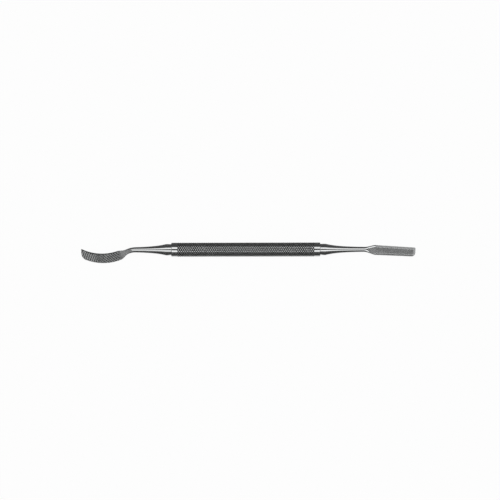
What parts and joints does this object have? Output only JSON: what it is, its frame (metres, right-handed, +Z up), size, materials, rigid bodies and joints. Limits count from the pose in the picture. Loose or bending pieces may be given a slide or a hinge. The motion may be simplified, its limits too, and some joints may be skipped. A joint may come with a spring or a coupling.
{
  "type": "bone file",
  "caption": "Double-ended surgical bone file: round knurled handle, a crescent blade with cross-cut teeth at one end and a straight slim blade with single-cut teeth at the other.",
  "frame": {"origin": "middle of the handle's axis", "axes": "+X along the handle's axis towards the straight file, +Z up from the table that the tool lies on"},
  "size_m": [0.1782, 0.0103, 0.0076],
  "materials": {
    "knurled_steel": "knurled",
    "polished_steel": "polished",
    "satin_steel": "satin blade, polished shank"
  },
  "bodies": {
    "root": {"handle_tube": "knurled_steel", "curved_file_end": "polished_steel", "straight_file_end": "satin_steel"}
  },
  "joints": []
}
